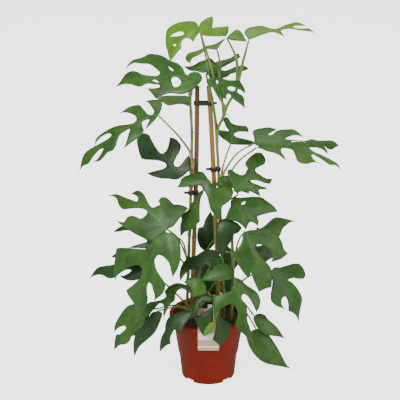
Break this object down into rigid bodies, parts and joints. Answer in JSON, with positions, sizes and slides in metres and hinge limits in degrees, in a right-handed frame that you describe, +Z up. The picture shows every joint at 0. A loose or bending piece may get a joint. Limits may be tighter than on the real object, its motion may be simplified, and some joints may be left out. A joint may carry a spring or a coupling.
{
  "type": "potted rhaphidophora tetrasperma",
  "caption": "Climbing house plant with split green leaves on stems tied to two bamboo canes, in a brick-red plastic nursery pot with a bare label card over its rim.",
  "frame": {"origin": "centre of the underside of the pot, on the surface that it stands on", "axes": "+Z up along the pot's axis; -Y to the front, where the label hangs; +X to the right"},
  "size_m": [0.5461, 0.2491, 0.8009],
  "materials": {
    "pot": "satin",
    "soil": "matte",
    "bamboo": "satin",
    "stem": "satin",
    "leaf": "satin",
    "leaf_dark": "satin",
    "leaf_young": "satin",
    "leaf_pale": "satin",
    "tie": "satin",
    "label_card": "matte"
  },
  "bodies": {
    "root": {"pot": "pot", "soil": "soil", "cane_left": "bamboo", "cane_right": "bamboo", "stem_left": "stem", "stem_right": "stem", "stem_front": "stem", "stem_low_right": "stem", "stem_back": "stem", "leaf_crown_left": "leaf_young", "leaf_crown_young": "leaf_young", "leaf_crown_middle": "leaf_young", "leaf_crown_hood": "leaf_young", "leaf_crown_right": "leaf_young", "leaf_left_upper": "leaf", "leaf_collar": "leaf", "leaf_left_under": "leaf_pale", "leaf_back_upper": "leaf", "leaf_right_upper": "leaf", "leaf_left_long": "leaf", "leaf_right_inner": "leaf", "leaf_right_long": "leaf", "leaf_right_long_under": "leaf_pale", "leaf_left_dark": "leaf_dark", "leaf_centre_star": "leaf", "leaf_right_round": "leaf", "leaf_right_folded": "leaf", "leaf_centre_hanging": "leaf", "leaf_right_mid": "leaf", "leaf_left_wide": "leaf", "leaf_right_back": "leaf", "leaf_centre_dark": "leaf_dark", "leaf_right_big": "leaf", "leaf_left_behind": "leaf_dark", "leaf_front_left": "leaf", "leaf_low_centre_back": "leaf_dark", "leaf_low_centre": "leaf", "leaf_left_low_behind": "leaf_dark", "leaf_right_far": "leaf", "leaf_front_right": "leaf", "leaf_bright_star": "leaf_young", "leaf_low_arched": "leaf", "leaf_rim_arch": "leaf_dark", "leaf_low_left": "leaf", "leaf_low_left_dark": "leaf_dark", "leaf_rim_front": "leaf_dark", "leaf_rim_left": "leaf_dark", "leaf_rim_dark": "leaf_dark", "leaf_young_oval": "leaf_young", "leaf_right_low": "leaf", "leaf_right_entire": "leaf", "leaf_back_high": "leaf", "leaf_back_left": "leaf_dark", "leaf_back_right": "leaf_dark", "leaf_back_middle": "leaf_dark", "leaf_back_low": "leaf_dark", "tie_top": "tie", "tie_right": "tie", "tie_left": "tie", "plant_label": "label_card"}
  },
  "joints": []
}
